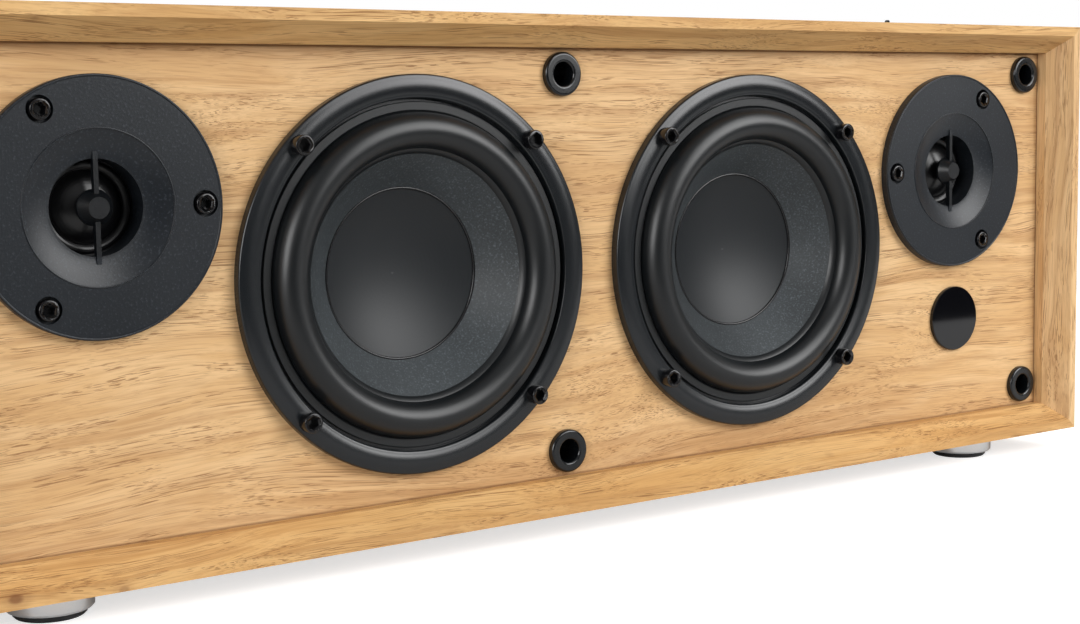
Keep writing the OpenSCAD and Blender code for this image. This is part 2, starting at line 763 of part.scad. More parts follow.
// Wound ring core that stands on the bottom panel
module power_transformer() {
  edge = 5;
  core_r = 12;
  color("#b5722f") translate([plate_x, (baffle_back_y + rear_inner_y) / 2 + transformer_back, floor_z])
    rotate_extrude() polygon(concat([[core_r + edge, 0], [transformer_r - edge, 0]],
      arc(transformer_r - edge, edge, edge, -90, 0, 5),
      arc(transformer_r - edge, transformer_h - edge, edge, 0, 90, 5),
      arc(core_r + edge, transformer_h - edge, edge, 90, 180, 5),
      arc(core_r + edge, edge, edge, 180, 270, 5)));
}

module plate_screws() {
  color("#101011") plate_screw_places() translate([0, plate_t, 0]) rotate([-90, 0, 0])
    socket_screw(plate_screw_r, plate_t + rear_t - 2, plate_head_r, plate_head_h);
}

// Push button through the top panel and the switch body under it
module standby_button() {
  low = top_z + button_proud - button_len;
  color("#0e0e0f") translate([button_x, button_y, low]) rotate_extrude()
    polygon([[0, 0], [button_r, 0], [button_r, button_len - 0.4],
      [button_r - 0.4, button_len], [0, button_len]]);
}

module standby_switch() {
  bore_low = top_z + button_proud - button_len - button_travel - 0.3;
  color("#1a1a1b") difference() {
    translate([button_x - switch_w / 2, button_y - switch_w / 2, ceiling_z - switch_h])
      cube([switch_w, switch_w, switch_h]);
    translate([button_x, button_y, bore_low])
      cylinder(r = button_r + button_clear, h = ceiling_z - bore_low + past);
  }
}

// One woofer or tweeter in its place
module woofer_place(side) { on_baffle(side * woofer_x, mid_z) children(); }

module tweeter_place(side) { on_baffle(side * tweeter_x, tweeter_z) children(); }

module woofer_basket(side) { color("#26282b") woofer_place(side) basket(); }

module tweeter_faceplate(side) { color("#2b2f36") tweeter_place(side) faceplate(side); }

top_panel();
bottom_panel();
left_side_panel();
right_side_panel();
front_baffle();
rear_panel();
centre_divider();
woofer_basket(-1);  // woofer_left_basket
woofer_place(-1) surround();  // woofer_left_surround
woofer_place(-1) cone();  // woofer_left_cone
woofer_place(-1) dust_cap();  // woofer_left_dust_cap
woofer_place(-1) spider();  // woofer_left_spider
woofer_place(-1) voice_coil();  // woofer_left_voice_coil
woofer_place(-1) woofer_top_plate();  // woofer_left_top_plate
woofer_place(-1) woofer_magnet();  // woofer_left_magnet
woofer_place(-1) woofer_yoke();  // woofer_left_yoke
woofer_place(-1) woofer_terminals();  // woofer_left_terminals
woofer_place(-1) woofer_screws();  // woofer_left_screws
woofer_basket(1);  // woofer_right_basket
woofer_place(1) surround();  // woofer_right_surround
woofer_place(1) cone();  // woofer_right_cone
woofer_place(1) dust_cap();  // woofer_right_dust_cap
woofer_place(1) spider();  // woofer_right_spider
woofer_place(1) voice_coil();  // woofer_right_voice_coil
woofer_place(1) woofer_top_plate();  // woofer_right_top_plate
woofer_place(1) woofer_magnet();  // woofer_right_magnet
woofer_place(1) woofer_yoke();  // woofer_right_yoke
woofer_place(1) woofer_terminals();  // woofer_right_terminals
woofer_place(1) woofer_screws();  // woofer_right_screws
tweeter_faceplate(-1);  // tweeter_left_faceplate
tweeter_place(-1) dome();  // tweeter_left_dome
tweeter_place(-1) tweeter_voice_coil();  // tweeter_left_voice_coil
tweeter_place(-1) tweeter_top_plate();  // tweeter_left_top_plate
tweeter_place(-1) tweeter_magnet();  // tweeter_left_magnet
tweeter_place(-1) tweeter_yoke();  // tweeter_left_yoke
tweeter_place(-1) tweeter_screws(-1);  // tweeter_left_screws
tweeter_faceplate(1);  // tweeter_right_faceplate
tweeter_place(1) dome();  // tweeter_right_dome
tweeter_place(1) tweeter_voice_coil();  // tweeter_right_voice_coil
tweeter_place(1) tweeter_top_plate();  // tweeter_right_top_plate
tweeter_place(1) tweeter_magnet();  // tweeter_right_magnet
tweeter_place(1) tweeter_yoke();  // tweeter_right_yoke
tweeter_place(1) tweeter_screws(1);  // tweeter_right_screws
grille_sockets();
receiver_window();
receiver_board();
front_left_foot();
front_right_foot();
rear_left_foot();
rear_right_foot();
foot_pads();
foot_screws();
amplifier_plate();
mains_inlet();
input_sockets();
amplifier_board();
power_transformer();
plate_screws();
standby_button();
standby_switch();
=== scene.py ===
import math
import bpy
from mathutils import Matrix, Vector
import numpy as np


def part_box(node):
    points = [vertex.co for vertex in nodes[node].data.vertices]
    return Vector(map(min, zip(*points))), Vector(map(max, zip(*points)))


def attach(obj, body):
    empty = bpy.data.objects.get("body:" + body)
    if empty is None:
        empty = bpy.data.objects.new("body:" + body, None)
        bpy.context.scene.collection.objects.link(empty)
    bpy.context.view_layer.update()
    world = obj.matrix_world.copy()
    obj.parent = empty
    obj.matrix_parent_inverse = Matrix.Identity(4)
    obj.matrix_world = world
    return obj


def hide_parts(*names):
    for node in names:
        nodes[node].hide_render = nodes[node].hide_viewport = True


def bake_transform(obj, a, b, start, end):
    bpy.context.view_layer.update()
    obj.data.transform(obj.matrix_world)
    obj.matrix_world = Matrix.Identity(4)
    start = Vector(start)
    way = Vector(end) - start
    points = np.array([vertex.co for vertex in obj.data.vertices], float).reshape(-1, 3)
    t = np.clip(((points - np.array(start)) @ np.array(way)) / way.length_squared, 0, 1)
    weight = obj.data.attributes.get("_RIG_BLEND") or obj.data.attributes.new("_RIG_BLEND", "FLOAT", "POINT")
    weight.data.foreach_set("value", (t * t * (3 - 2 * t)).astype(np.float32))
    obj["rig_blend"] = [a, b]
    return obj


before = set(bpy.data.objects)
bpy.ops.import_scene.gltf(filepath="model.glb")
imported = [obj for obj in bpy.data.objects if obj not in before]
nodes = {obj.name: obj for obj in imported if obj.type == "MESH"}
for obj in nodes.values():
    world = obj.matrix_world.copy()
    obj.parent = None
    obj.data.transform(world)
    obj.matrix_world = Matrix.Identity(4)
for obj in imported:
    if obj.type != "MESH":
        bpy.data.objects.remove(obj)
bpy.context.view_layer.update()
mm = 0.001
print("frame loaded:", len(nodes), "nodes")


# Shader maths: a value in a material, so that sums and products read as plain expressions
class Value:
    def __init__(self, finish, socket):
        self.finish = finish
        self.socket = socket

    # Another output of the node that this value comes from
    def beside(self, output):
        return Value(self.finish, self.socket.node.outputs[output])

    def maths(self, operation, other=None, flipped=False):
        terms = [self] if other is None else [self, other]
        if flipped:
            terms.reverse()
        return self.finish.node("ShaderNodeMath", {"operation": operation}, dict(enumerate(terms)))

    def __add__(self, other):
        return self.maths("ADD", other)

    def __sub__(self, other):
        return self.maths("SUBTRACT", other)

    def __rsub__(self, other):
        return self.maths("SUBTRACT", other, flipped=True)

    def __mul__(self, other):
        return self.maths("MULTIPLY", other)

    __radd__ = __add__
    __rmul__ = __mul__

    # 0 below the first edge, 1 above the second, smooth between them
    def step(self, low, high):
        settings = {"interpolation_type": "SMOOTHSTEP"}
        return self.finish.node("ShaderNodeMapRange", settings, {0: self, 1: low, 2: high})


# One material round a Principled shader; every other node comes from node()
class Finish:
    def __init__(self, name, **constants):
        self.material = bpy.data.materials.new(name)
        self.material.use_nodes = True
        self.tree = self.material.node_tree
        self.shader = self.tree.nodes["Principled BSDF"]
        for key, value in constants.items():
            self.shader.inputs[key.replace("_", " ")].default_value = value
        self.place = self.node("ShaderNodeTexCoord", output="Object")

    def node(self, kind, settings=None, inputs=None, output=0):
        made = self.tree.nodes.new(kind)
        for key, value in (settings or {}).items():
            setattr(made, key, value)
        for key, value in (inputs or {}).items():
            if isinstance(value, Value):
                self.tree.links.new(value.socket, made.inputs[key])
            else:
                made.inputs[key].default_value = value
        return Value(self, made.outputs[output])

    def vector(self, operation, *terms, output=0):
        return self.node("ShaderNodeVectorMath", {"operation": operation}, dict(enumerate(terms)), output)

    def noise(self, scale, detail=2.0, roughness=0.5, distortion=0.0, shift=(0, 0, 0), output=0):
        mapped = self.node("ShaderNodeMapping", None, {0: self.place, 1: shift, 3: scale})
        return self.node("ShaderNodeTexNoise", None, {
            "Vector": mapped, "Scale": 1.0, "Detail": detail, "Roughness": roughness,
            "Distortion": distortion}, output)

    def blend(self, amount, first, second, mode="MIX"):
        return self.node("ShaderNodeMix", {"data_type": "RGBA", "blend_type": mode},
                         {0: amount, 6: first, 7: second}, output=2)

    def bump(self, height, distance, strength=1.0):
        return self.node("ShaderNodeBump", None,
                         {"Height": height, "Distance": distance, "Strength": strength})

    def feed(self, **links):
        for key, value in links.items():
            self.tree.links.new(value.socket, self.shader.inputs[key.replace("_", " ")])
        return self.material


# Oak veneer: a pale ground that drifts with the grain, soft blotches and short dark pores.
# Each layer has its size along and across the grain, and the noise levels between which it fades in.
oak = {
    "light": (0.735, 0.488, 0.250, 1), "middle": (0.632, 0.382, 0.168, 1),
    "dark": (0.445, 0.240, 0.100, 1), "pore": (0.235, 0.112, 0.045, 1),
    # knot is the knots' own colour; the seam colour after it is painted shade where boards meet
    "knot": (0.20, 0.085, 0.040, 1), "seamShade": (0.16, 0.075, 0.030, 1),
    "plain": (1, 1, 1, 1), "warm": (1.0, 0.95, 0.80, 1), "amber": (0.95, 0.88, 0.72, 1),
    "drift": {"size": (0.15, 0.055), "detail": 2.0, "roughness": 0.4},
    "driftReach": 26 * mm,
    "layers": {
        "blotch": {"size": (0.075, 0.012), "detail": 3, "roughness": 0.6, "distortion": 0.7,
                   "edges": (0.38, 0.64), "share": 0.75, "colour": "middle"},
        "figure": {"size": (0.22, 4.2 * mm), "detail": 3, "roughness": 0.6, "distortion": 0.3,
                   "edges": (0.45, 0.68), "share": 0.55, "colour": "dark"},
        "slow": {"size": (0.30, 0.040), "detail": 2, "roughness": 0.5, "distortion": 0.3,
                 "edges": (0.46, 0.74), "share": 0.34, "colour": "dark"},
        "fine": {"size": (0.026, 0.7 * mm), "detail": 2, "roughness": 0.6, "distortion": 0.0,
                 "edges": (0.46, 0.66), "share": 0.30, "colour": "dark"},
    },
    "pores": {"size": (24 * mm, 0.3 * mm), "detail": 1, "roughness": 0.5, "distortion": 0.0,
              "edges": (0.56, 0.62)},
    "gather": {"size": (0.11, 0.0035), "detail": 2, "roughness": 0.5, "distortion": 0.2,
               "edges": (0.44, 0.58)},
    "poreLeast": 0.20, "poreShare": 0.72, "poreDepth": 0.8, "fineDepth": 0.2,
    "roughness": 0.46, "fineGloss": 0.10, "poreGloss": 0.2, "specular": 0.22,
    "relief": 0.12 * mm, "reliefStrength": 0.5,
}
# A knot's dark heart and its halo, in radii, and the painted shade where a board's edge meets another board:
# a dark painted shadow line in the seam and a wider, fainter painted shade
knotShape = {"long": 1.5, "uneven": 1.2, "heart": (0.15, 0.55), "heartShare": 0.7,
             "halo": (0.5, 1.3), "haloShare": 0.35}
seamShadeShape = {"line": (-1.2 * mm, -0.2 * mm), "lineShare": 0.60, "shade": (-9 * mm, 0),
              "shadeShare": 0.12}


def addKnot(wood, colour, still, blotch, knot):
    x, y, z, radius, strength = knot
    k = knotShape
    away = wood.node("ShaderNodeMapping", {"vector_type": "TEXTURE"},
                     {0: still, 1: (x, y, z), 3: (k["long"] * radius, radius, radius)})
    uneven = wood.vector("LENGTH", away, output="Value") + (blotch - 0.5) * k["uneven"]
    heart = 1 - uneven.step(*k["heart"])
    halo = 1 - uneven.step(*k["halo"])
    spot = heart * k["heartShare"] + halo * k["haloShare"]
    return wood.blend(spot * strength, colour, oak["knot"])


# Painted shade: the board darkens towards its edges, with a dark painted shadow line in the seam and a
# fainter painted shade over 9 mm
def addSeamShade(wood, colour, still, middle, half):
    j = seamShadeShape
    away = wood.vector("ABSOLUTE", wood.vector("SUBTRACT", still, tuple(middle)))
    across = wood.node("ShaderNodeSeparateXYZ", None, {0: away}, output="X")
    edge = (across - half.x).maths("MAXIMUM", across.beside("Z") - half.z)
    paintedShade = edge.step(*j["line"]) * j["lineShare"] + edge.step(*j["shade"]) * j["shadeShare"]
    return wood.blend(paintedShade, colour, oak["seamShade"])


def oakVeneer(name, along, shift, tint="plain", seamShade=None, knots=()):
    wood = Finish(name, Specular_IOR_Level=oak["specular"])
    still = wood.place

    def stretched(layer, output=0):
        length, width = layer["size"]
        scale = tuple(1 / length if axis == along else 1 / width for axis in "xyz")
        return wood.noise(scale, layer["detail"], layer["roughness"], layer.get("distortion", 0.0),
                          shift, output)

    push = tuple(0 if axis == along else oak["driftReach"] for axis in "xyz")
    wood.place = wood.vector("MULTIPLY_ADD", stretched(oak["drift"], "Color"), push, still)
    grain = {}
    colour = oak["light"]
    for key, layer in oak["layers"].items():
        grain[key] = stretched(layer)
        colour = wood.blend(grain[key].step(*layer["edges"]) * layer["share"], colour,
                            oak[layer["colour"]])
    gathered = stretched(oak["gather"]).step(*oak["gather"]["edges"])
    pore = stretched(oak["pores"]).step(*oak["pores"]["edges"])
    pore = pore * (oak["poreLeast"] + (1 - oak["poreLeast"]) * gathered)
    colour = wood.blend(pore * oak["poreShare"], colour, oak["pore"])
    for knot in knots:
        colour = addKnot(wood, colour, still, grain["blotch"], knot)
    # painted shade along the seams round the board
    if seamShade:
        colour = addSeamShade(wood, colour, still, *seamShade)
    if tint != "plain":
        colour = wood.blend(1.0, colour, oak[tint], "MULTIPLY")
    height = 1 - pore * oak["poreDepth"] - grain["fine"] * oak["fineDepth"]
    gloss = oak["roughness"] + grain["fine"] * oak["fineGloss"] + pore * oak["poreGloss"]
    return wood.feed(Base_Color=colour, Roughness=gloss,
                     Normal=wood.bump(height, oak["relief"], oak["reliefStrength"]))


# Painted, moulded and metal surfaces: one colour with slow tint, fine grain in gloss and relief.
# Speckle is the share of pale grains; the core is painted shade, a darker round middle with its two radii.
mottle = {
    "perMetre": 18, "slowDetail": 3, "slowEdges": (0.3, 0.7), "slowShare": 0.6,
    "fineDetail": 2, "fineRoughness": 0.6, "fineEdges": (0.35, 0.65), "bump": 0.6,
    "speckleEdges": (0.56, 0.70), "speckleGain": 3.5, "speckleLift": 0.012, "paintedCoreShade": 0.3,
}


def grained(name, colour, roughness, grain=0.6 * mm, depth=0.02 * mm, tint=0.12, gloss=0.08,
            speckle=0.0, paintedCore=None, **constants):
    m = mottle
    made = Finish(name, **constants)
    coarse = made.noise((m["perMetre"],) * 3, m["slowDetail"])
    fine = made.noise((1 / grain,) * 3, m["fineDetail"], m["fineRoughness"])
    darker = (*(c * (1 - 2 * tint) for c in colour), 1)
    mixed = coarse.step(*m["slowEdges"]) * m["slowShare"]
    mixed = mixed + fine.step(*m["fineEdges"]) * (1 - m["slowShare"])
    shade = made.blend(mixed, darker, (*colour, 1))
    if speckle:
        lighter = (*(c * m["speckleGain"] + m["speckleLift"] for c in colour), 1)
        shade = made.blend(fine.step(*m["speckleEdges"]) * speckle, shade, lighter)
    # painted shade: the round middle, inside the throat, is darkened
    if paintedCore:
        centre, inner, outer = paintedCore
        flat = made.vector("MULTIPLY", made.vector("SUBTRACT", made.place, tuple(centre)), (1, 0, 1))
        inside = 1 - made.vector("LENGTH", flat, output="Value").step(inner, outer)
        shade = made.blend(inside, shade, (*(c * m["paintedCoreShade"] for c in colour), 1))
    uneven = (coarse - 0.5) * gloss + (fine - 0.5) * gloss
    return made.feed(Base_Color=shade, Roughness=roughness + uneven,
                     Normal=made.bump(fine, depth, m["bump"]))


finishes = {
    "frame": grained("framePaint", (0.0075, 0.0092, 0.011), 0.26, grain=1.2 * mm, depth=0.0002 * mm,
                     tint=0.05, gloss=0.012),
    "rubber": grained("surroundRubber", (0.0038, 0.0050, 0.0060), 0.36, grain=1.0 * mm,
                      depth=0.006 * mm, tint=0.08, gloss=0.06),
    "cone": grained("conePulp", (0.042, 0.050, 0.055), 0.52, grain=0.8 * mm, depth=0.12 * mm,
                    tint=0.30, gloss=0.08, speckle=0.32),
    "cap": grained("capPlastic", (0.0068, 0.0088, 0.0108), 0.47, grain=0.35 * mm, depth=0.004 * mm,
                   tint=0.05, gloss=0.02, Specular_IOR_Level=0.42),
    "bead": grained("capGlue", (0.004, 0.004, 0.005), 0.25, grain=0.5 * mm, depth=0.01 * mm),
    "dome": grained("domeCloth", (0.0015, 0.0015, 0.002), 0.30, grain=0.4 * mm, depth=0.01 * mm,
                    tint=0.1, gloss=0.05),
    "screw": grained("blackScrews", (0.004, 0.004, 0.005), 0.20, grain=0.4 * mm, depth=0.008 * mm),
    "socket": grained("socketPlastic", (0.004, 0.005, 0.006), 0.20, grain=0.5 * mm,
                      depth=0.01 * mm),
    "window": grained("windowPlastic", (0.002, 0.002, 0.003), 0.05, grain=2 * mm,
                      depth=0.0005 * mm, tint=0.05, gloss=0.01),
    "chrome": grained("footChrome", (0.80, 0.82, 0.84), 0.08, grain=0.5 * mm, depth=0.002 * mm,
                      tint=0.02, gloss=0.04, Metallic=1.0),
    "pad": grained("padRubber", (0.006, 0.006, 0.007), 0.6, grain=0.8 * mm, depth=0.03 * mm),
    "steel": grained("platedSteel", (0.50, 0.51, 0.52), 0.35, grain=0.5 * mm, depth=0.01 * mm,
                     tint=0.05, Metallic=1.0),
    "ferrite": grained("ferrite", (0.055, 0.055, 0.060), 0.65, grain=1.2 * mm, depth=0.05 * mm),
    "copper": grained("copperWire", (0.55, 0.24, 0.09), 0.35, grain=0.4 * mm, Metallic=1.0),
    "cloth": grained("spiderCloth", (0.50, 0.33, 0.12), 0.8, grain=0.5 * mm, depth=0.05 * mm),
    "board": grained("circuitBoard", (0.02, 0.14, 0.06), 0.4, grain=0.8 * mm),
    "plate": grained("platePaint", (0.016, 0.017, 0.019), 0.42, grain=0.4 * mm),
    "plastic": grained("blackPlastic", (0.010, 0.010, 0.011), 0.38, grain=0.5 * mm,
                       depth=0.015 * mm),
    "brass": grained("socketBrass", (0.72, 0.52, 0.20), 0.25, grain=0.5 * mm, depth=0.005 * mm,
                     tint=0.05, Metallic=1.0),
    "button": grained("buttonPlastic", (0.006, 0.006, 0.007), 0.25, grain=0.5 * mm,
                      depth=0.005 * mm),
    "fibre": grained("fibreboard", (0.45, 0.32, 0.19), 0.8, grain=0.8 * mm, depth=0.05 * mm),
}

# Grainy slate plastic of the tweeter faceplates, darker in the throat by painted shade
slate = {"colour": (0.0095, 0.0122, 0.0160), "roughness": 0.36, "grain": 0.9 * mm,
         "depth": 0.07 * mm, "tint": 0.10, "gloss": 0.10, "speckle": 0.45, "specular": 0.38,
         "inner": 15.5 * mm, "outer": 17.5 * mm}


def faceplateFinish(side):
    s = slate
    low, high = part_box(f"tweeter_{side}_faceplate")
    return grained(f"faceplatePlastic{side.capitalize()}", s["colour"], s["roughness"], s["grain"],
                   s["depth"], s["tint"], s["gloss"], s["speckle"],
                   paintedCore=((low + high) / 2, s["inner"], s["outer"]), Specular_IOR_Level=s["specular"])


# Place, radius and strength of the small knots: near the bottom board's front edge, and in the top
knotPlaces = {
    "bottom": [(-0.2469, -0.1095, 0.0138, 3.8 * mm, 0.80), (-0.1946, -0.1065, 0.0198, 2.4 * mm, 0.75),
               (-0.2101, -0.1100, 0.0108, 2.4 * mm, 0.5), (0.118, -0.1085, 0.0165, 2.0 * mm, 0.5)],
    "top": [(-0.231, -0.1090, 0.1990, 2.6 * mm, 0.5), (0.052, -0.031, 0.2050, 3.4 * mm, 0.6)],
}
baffleLow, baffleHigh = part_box("front_baffle")
# middle and half size of the baffle, for the painted shade along its edges
baffleSeamShade = ((baffleLow + baffleHigh) / 2, (baffleHigh - baffleLow) / 2)
nodeFinish = {
    "top_panel": oakVeneer("oakTop", "x", (0.37, 0.11, 0.83), "warm", knots=knotPlaces["top"]),
    "bottom_panel": oakVeneer("oakBottom", "x", (0.91, 0.45, 0.17), "amber",
                              knots=knotPlaces["bottom"]),
    "left_side_panel": oakVeneer("oakLeft", "z", (0.15, 0.72, 0.31)),
    "right_side_panel": oakVeneer("oakRight", "z", (0.57, 0.28, 0.66)),
    "front_baffle": oakVeneer("oakBaffle", "x", (0.0, 0.33, 0.52), seamShade=baffleSeamShade),
    "rear_panel": oakVeneer("oakRear", "x", (0.63, 0.91, 0.08)),
    "tweeter_left_faceplate": faceplateFinish("left"),
    "tweeter_right_faceplate": faceplateFinish("right"),
}
# Finish by the ending of the node's name; the first ending that fits counts
endings = [
    ("basket", "frame"), ("surround", "rubber"), ("cone", "cone"), ("dust_cap", "cap"),
    ("spider", "cloth"), ("voice_coil", "copper"), ("top_plate", "steel"), ("magnet", "ferrite"),
    ("yoke", "steel"), ("terminals", "fibre"), ("dome", "dome"),
    ("foot_screws", "steel"), ("screws", "screw"), ("grille_sockets", "socket"),
    ("receiver_window", "window"), ("_board", "board"), ("_foot", "chrome"),
    ("foot_pads", "pad"), ("amplifier_plate", "plate"), ("mains_inlet", "plastic"),
    ("input_sockets", "brass"), ("power_transformer", "copper"), ("standby_button", "button"),
    ("standby_switch", "plastic"), ("centre_divider", "fibre"),
]
for name, obj in nodes.items():
    material = nodeFinish.get(name)
    if material is None:
        material = finishes[next(finish for ending, finish in endings if name.endswith(ending))]
    obj.data.materials.clear()
    obj.data.materials.append(material)
print("finishes on the frame's nodes")


# Turned pieces: a circle is extruded ring by ring along a profile of (radius, height) points, in mm.
# Heights are over the baffle face, towards the listener.
baffleY = baffleLow.y
turned = {"segments": 128, "weld": 0.001 * mm, "smooth": 40}


def middleOf(node):
    low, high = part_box(node)
    return Vector(((low.x + high.x) / 2, baffleY, (low.z + high.z) / 2))


def turnOnBaffle(name, node, profile, material):
    centre = middleOf(node)
    radius, height = (length * mm for length in profile[0])
    here = Vector((centre.x, baffleY - height, centre.z))
    bpy.ops.object.select_all(action="DESELECT")
    bpy.ops.mesh.primitive_circle_add(vertices=turned["segments"], radius=radius, location=here,
                                      rotation=(math.pi / 2, 0, 0))
    piece = bpy.context.object
    piece.name = name
    bpy.ops.object.transform_apply(location=True, rotation=True, scale=True)
    bpy.ops.object.mode_set(mode="EDIT")
    bpy.ops.mesh.select_all(action="SELECT")
    for point in profile[1:]:
        nextRadius, nextHeight = (length * mm for length in point)
        bpy.ops.mesh.extrude_region_move(
            TRANSFORM_OT_translate={"value": (0, height - nextHeight, 0)})
        scale = nextRadius / radius
        bpy.ops.transform.resize(value=(scale, 1, scale), center_override=tuple(here))
        radius, height = nextRadius, nextHeight
    bpy.ops.mesh.select_all(action="DESELECT")
    bpy.ops.mesh.select_non_manifold()
    bpy.ops.mesh.bridge_edge_loops()
    bpy.ops.mesh.select_all(action="SELECT")
    bpy.ops.mesh.remove_doubles(threshold=turned["weld"])
    bpy.ops.mesh.normals_make_consistent(inside=False)
    bpy.ops.object.mode_set(mode="OBJECT")
    bpy.ops.object.shade_smooth_by_angle(angle=math.radians(turned["smooth"]))
    piece.data.materials.append(material)
    return piece


def arc(centreRadius, centreHeight, radius, start, end, steps):
    turns = [math.radians(start + (end - start) * i / steps) for i in range(steps + 1)]
    return [(centreRadius + radius * math.cos(turn), centreHeight + radius * math.sin(turn))
            for turn in turns]


# A turned piece that is held by the frame outside the start radius and by the cone inside the end
def followCone(piece, side, start, end):
    centre = middleOf(f"woofer_{side}_basket")
    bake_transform(piece, "cabinet", f"woofer_{side}_diaphragm",
             start=(centre.x, 0, centre.z + start), end=(centre.x, 0, centre.z + end))
    weights = piece.data.attributes["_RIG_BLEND"]
    for vertex in piece.data.vertices:
        radius = math.hypot(vertex.co.x - centre.x, vertex.co.z - centre.z)
        share = min(1.0, max(0.0, (start - radius) / (start - end)))
        weights.data[vertex.index].value = share * share * (3 - 2 * share)


# Rubber half roll between frame and cone, with its flat outer foot and inner lip, in mm
surround = {
    "footOut": 65.1, "footIn": 61.7, "footLow": 1.0, "footHigh": 2.5, "corner": 0.3,
    "rollMiddle": 54.35, "rollHeight": 2.8, "rollRadius": 6.75, "tilt": 7, "wall": 0.8, "steps": 36,
    "coneEdge": 47.2, "coneHeight": 3.0, "coneGap": 0.06, "coneHold": 0.4,
    "lipIn": 45.7, "lipHigh": 2.25, "lipStart": 0.5, "lipLift": 0.1, "lipDip": 0.15, "lipEdge": 0.55,
}


def makeSurround(side):
    s = surround
    outside = arc(s["rollMiddle"], s["rollHeight"], s["rollRadius"], -s["tilt"], 180 - s["tilt"],
                  s["steps"])
    inside = arc(s["rollMiddle"], s["rollHeight"], s["rollRadius"] - s["wall"], 180 - s["tilt"],
                 -s["tilt"], s["steps"])
    foot = [(s["footOut"], s["footLow"]), (s["footOut"], s["footHigh"] - s["corner"]),
            (s["footOut"] - s["corner"], s["footHigh"]), (s["footIn"] + s["corner"], s["footHigh"]),
            (s["footIn"], s["footHigh"] - s["corner"])]
    lip = [(s["coneEdge"] - s["lipStart"], s["coneHeight"] + s["lipLift"]),
           (s["lipIn"] + s["corner"], s["lipHigh"] - s["lipDip"]),
           (s["lipIn"], s["lipHigh"] - s["lipEdge"]),
           (s["coneEdge"], s["coneHeight"] + s["coneGap"])]
    profile = foot + outside + lip + inside + [(s["footIn"], s["footLow"])]
    piece = turnOnBaffle(f"woofer_{side}_rubber_roll", f"woofer_{side}_basket", profile,
                         finishes["rubber"])
    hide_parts(f"woofer_{side}_surround")
    followCone(piece, side, s["footIn"] * mm, (s["coneEdge"] + s["coneHold"]) * mm)


# Corrugated cloth disc that centres the voice coil behind the cone, in mm
spider = {"inner": 13.25, "rollIn": 15.45, "rollOut": 34.5, "outer": 38.8, "height": -33.5,
          "thick": 0.5, "waves": 4, "swing": 1.3, "steps": 48}


def makeSpider(side):
    s = spider
    waves = []
    for i in range(s["steps"] + 1):
        radius = s["rollIn"] + (s["rollOut"] - s["rollIn"]) * i / s["steps"]
        swing = s["swing"] * math.sin(2 * math.pi * s["waves"] * i / s["steps"])
        waves.append((radius, s["height"] + swing))
    profile = [(s["inner"], s["height"])] + waves + [(s["outer"], s["height"])]
    profile += [(radius, height - s["thick"]) for radius, height in reversed(profile)]
    piece = turnOnBaffle(f"woofer_{side}_corrugated_spider", f"woofer_{side}_basket", profile,
                         finishes["cloth"])
    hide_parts(f"woofer_{side}_spider")
    followCone(piece, side, s["rollOut"] * mm, s["rollIn"] * mm)


# Crowned and rounded face of the frame's flange, over the flat solid, in mm
band = {"outer": 75.25, "inner": 66.2, "foot": 0.4, "innerFoot": 1.4, "edgeHeight": 3.15,
        "edge": 1.0, "edgeTurn": 70, "edgeSteps": 6, "face": 4.15, "crown": 0.55, "inset": 0.2,
        "steps": 14}


def makeBand(side):
    b = band
    half = (b["outer"] - b["inner"]) / 2 - b["edge"]
    middle = (b["outer"] + b["inner"]) / 2
    profile = [(b["outer"], b["foot"])]
    profile += arc(b["outer"] - b["edge"], b["edgeHeight"], b["edge"], 0, b["edgeTurn"],
                   b["edgeSteps"])
    for i in range(b["steps"] + 1):
        across = 1 - 2 * i / b["steps"]
        profile.append((middle + across * (half - b["inset"]),
                        b["face"] + b["crown"] * (1 - across * across)))
    profile += arc(b["inner"] + b["edge"], b["edgeHeight"], b["edge"], 180 - b["edgeTurn"], 180,
                   b["edgeSteps"])
    profile.append((b["inner"], b["innerFoot"]))
    piece = turnOnBaffle(f"woofer_{side}_flange_face", f"woofer_{side}_basket", profile,
                         finishes["frame"])
    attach(piece, "cabinet")


# Round lines turned on the drivers: ring radius, height over the baffle and thickness, in mm
beads = {"cap": (32.7, -10.9, 0.55), "waveguide": (26.7, 3.60, 0.30), "edge": (44.05, 3.35, 0.55),
         "steps": {"cap": 10, "waveguide": 12, "edge": 12}}


def beadProfile(which):
    return arc(*beads[which], 0, 360, beads["steps"][which])[:-1]


# Glue bead in the corner between cap and cone
def makeBead(side):
    piece = turnOnBaffle(f"woofer_{side}_cap_bead", f"woofer_{side}_basket", beadProfile("cap"),
                         finishes["bead"])
    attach(piece, f"woofer_{side}_diaphragm")


# Fine raised lines on the tweeter faceplate: round the waveguide and inside the outer edge
def makeRim(side, which):
    faceplate = f"tweeter_{side}_faceplate"
    piece = turnOnBaffle(f"tweeter_{side}_{which}_rim", faceplate, beadProfile(which),
                         nodeFinish[faceplate])
    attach(piece, "cabinet")


for side in ("left", "right"):
    makeSurround(side)
    makeSpider(side)
    makeBand(side)
    makeBead(side)
    makeRim(side, "waveguide")
    makeRim(side, "edge")
print("surrounds, spiders, flange faces, beads and rims made")


# Socket head screws: a bevelled head with a hexagon socket, on a short shank, in mm and degrees
screws = {
    "woofer": {"on": "basket", "ring": 70.5,
               "turns": {"left": (45, 135, 225, 315), "right": (45, 135, 225, 315)},
               "seat": 4.3, "head": 3.7, "tall": 4.8, "shank": 2.0, "hexagon": 2.2, "deep": 3.0},
    "tweeter": {"on": "faceplate", "ring": 38.1,
                "turns": {"left": (0, 120, 240), "right": (180, 60, 300)},
                "seat": 1.0, "head": 3.6, "tall": 3.6, "shank": 1.9, "hexagon": 2.1, "deep": 2.4},
    "rim": 0.45, "rimSteps": 3, "rimAngle": 60, "buried": 3.0, "segments": 40, "smooth": 35,
    "twist": 11, "chamfer": 0.40, "flare": 1.35, "facing": 0.9,
}


